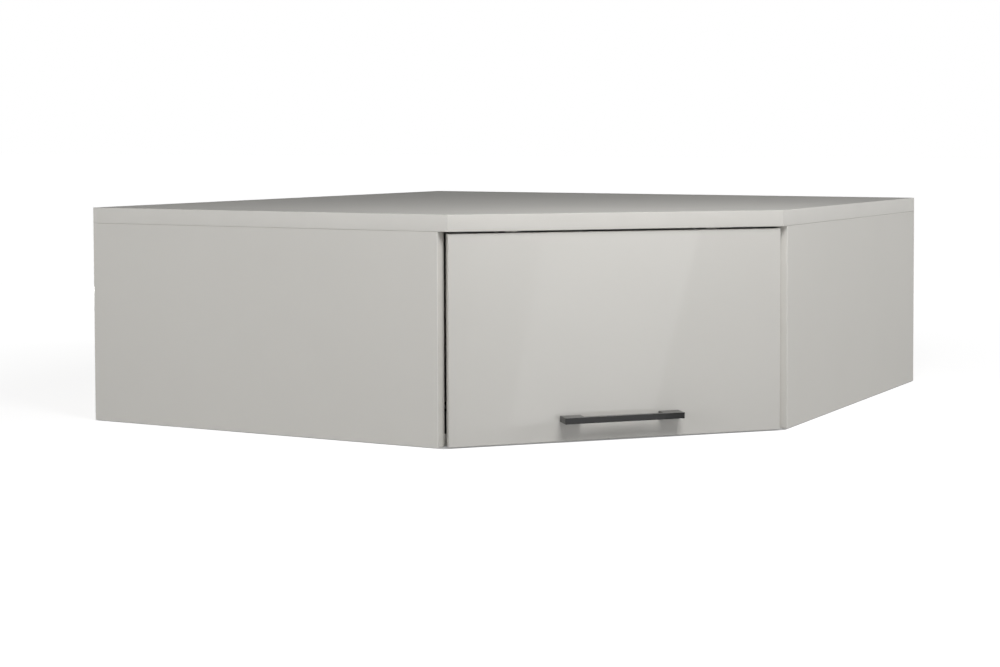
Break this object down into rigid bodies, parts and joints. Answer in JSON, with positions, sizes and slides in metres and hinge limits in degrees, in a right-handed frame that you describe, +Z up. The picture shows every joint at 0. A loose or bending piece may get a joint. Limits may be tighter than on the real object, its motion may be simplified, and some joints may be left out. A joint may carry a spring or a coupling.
{
  "type": "corner wall cabinet",
  "caption": "Five-sided corner wall cabinet with a thick top, a diagonal lift-up flap on concealed hinges and gas struts, and a bar handle.",
  "frame": {"origin": "the room's corner at the cabinet's underside, where the planes of the two walls meet it", "axes": "+X along the right wall, -Y along the left wall, +Z up; the wall planes are x = 0 and y = 0, and the diagonal front faces +X -Y"},
  "size_m": [0.905, 0.905, 0.298],
  "materials": {
    "carcass_board": "satin melamine, cashmere grey",
    "door_board": "semi-gloss foil, cashmere grey",
    "back_board": "lacquered hardboard",
    "edging": "satin edging in the board colour",
    "door_edging": "satin edging in the door colour",
    "zinc": "die-cast zinc",
    "plated_steel": "zinc-plated",
    "nickel": "nickel-plated",
    "bracket_steel": "galvanised sheet",
    "cap_plastic": "moulded, board colour",
    "hanger_plastic": "moulded, white",
    "beech": "turned beech",
    "handle_metal": "brushed, anthracite",
    "strut_tube": "black, satin",
    "strut_rod": "polished",
    "rod_end": "moulded, black",
    "clip_steel": "spring steel",
    "buffer": "clear soft pad"
  },
  "bodies": {
    "carcass": {"top_panel": "carcass_board", "bottom_panel": "carcass_board", "left_side_panel": "carcass_board", "right_side_panel": "carcass_board", "corner_post": "carcass_board", "left_back_panel": "back_board", "right_back_panel": "back_board", "top_edging": "edging", "bottom_edging": "edging", "left_side_edging": "edging", "right_side_edging": "edging", "top_cams": "zinc", "bottom_cams": "zinc", "top_cam_bolts": "plated_steel", "bottom_cam_bolts": "plated_steel", "cam_caps": "cap_plastic", "dowels": "beech", "post_screw": "plated_steel", "left_hinge_plate": "nickel", "right_hinge_plate": "nickel", "left_hinge_arm": "nickel", "right_hinge_arm": "nickel", "hinge_plate_screws": "plated_steel", "hinge_arm_screws": "plated_steel", "left_floor_bracket": "bracket_steel", "right_floor_bracket": "bracket_steel", "floor_bracket_screws": "plated_steel", "stud_clips": "clip_steel", "left_hanger_body": "hanger_plastic", "right_hanger_body": "hanger_plastic", "left_hanger_hook": "bracket_steel", "right_hanger_hook": "bracket_steel", "left_wall_plate": "bracket_steel", "right_wall_plate": "bracket_steel", "hanger_screws": "plated_steel"},
    "flap": {"door_panel": "door_board", "door_edging": "door_edging", "handle": "handle_metal", "handle_screws": "plated_steel", "left_hinge_cup": "nickel", "right_hinge_cup": "nickel", "hinge_pins": "plated_steel", "cup_screws": "plated_steel", "left_door_bracket": "bracket_steel", "right_door_bracket": "bracket_steel", "door_bracket_screws": "plated_steel", "door_buffers": "buffer"},
    "left_rod": {"left_strut_rod": "strut_rod", "left_strut_rod_end": "rod_end"},
    "left_tube": {"left_strut_tube": "strut_tube", "left_strut_tube_end": "rod_end"},
    "right_rod": {"right_strut_rod": "strut_rod", "right_strut_rod_end": "rod_end"},
    "right_tube": {"right_strut_tube": "strut_tube", "right_strut_tube_end": "rod_end"}
  },
  "joints": [
    {"name": "flap_hinge", "type": "hinge", "parent": "carcass", "child": "flap", "pos_m": [0.56881, -0.89581, 0.2585], "axis": [-0.7071, -0.7071, 0], "range_deg": [0, 90]},
    {"name": "left_strut_swing", "type": "hinge", "parent": "carcass", "child": "left_rod", "pos_m": [0.4981, -0.8251, 0.038], "axis": [0.7071, 0.7071, 0], "range_deg": [0, 13.78]},
    {"name": "left_strut_extend", "type": "slide", "parent": "left_rod", "child": "left_tube", "axis": [0.2547, -0.2547, 0.9329], "range_m": [0, 0.03473]},
    {"name": "right_strut_swing", "type": "hinge", "parent": "carcass", "child": "right_rod", "pos_m": [0.8251, -0.4981, 0.038], "axis": [0.7071, 0.7071, 0], "range_deg": [0, 13.78]},
    {"name": "right_strut_extend", "type": "slide", "parent": "right_rod", "child": "right_tube", "axis": [0.2547, -0.2547, 0.9329], "range_m": [0, 0.03473]}
  ],
  "couplings": [
    {"joint": "left_strut_swing", "follows": "flap_hinge", "ratio": 0.15258},
    {"joint": "left_strut_extend", "follows": "flap_hinge", "m_per_rad": 0.022047},
    {"joint": "right_strut_swing", "follows": "flap_hinge", "ratio": 0.15258},
    {"joint": "right_strut_extend", "follows": "flap_hinge", "m_per_rad": 0.022047}
  ]
}
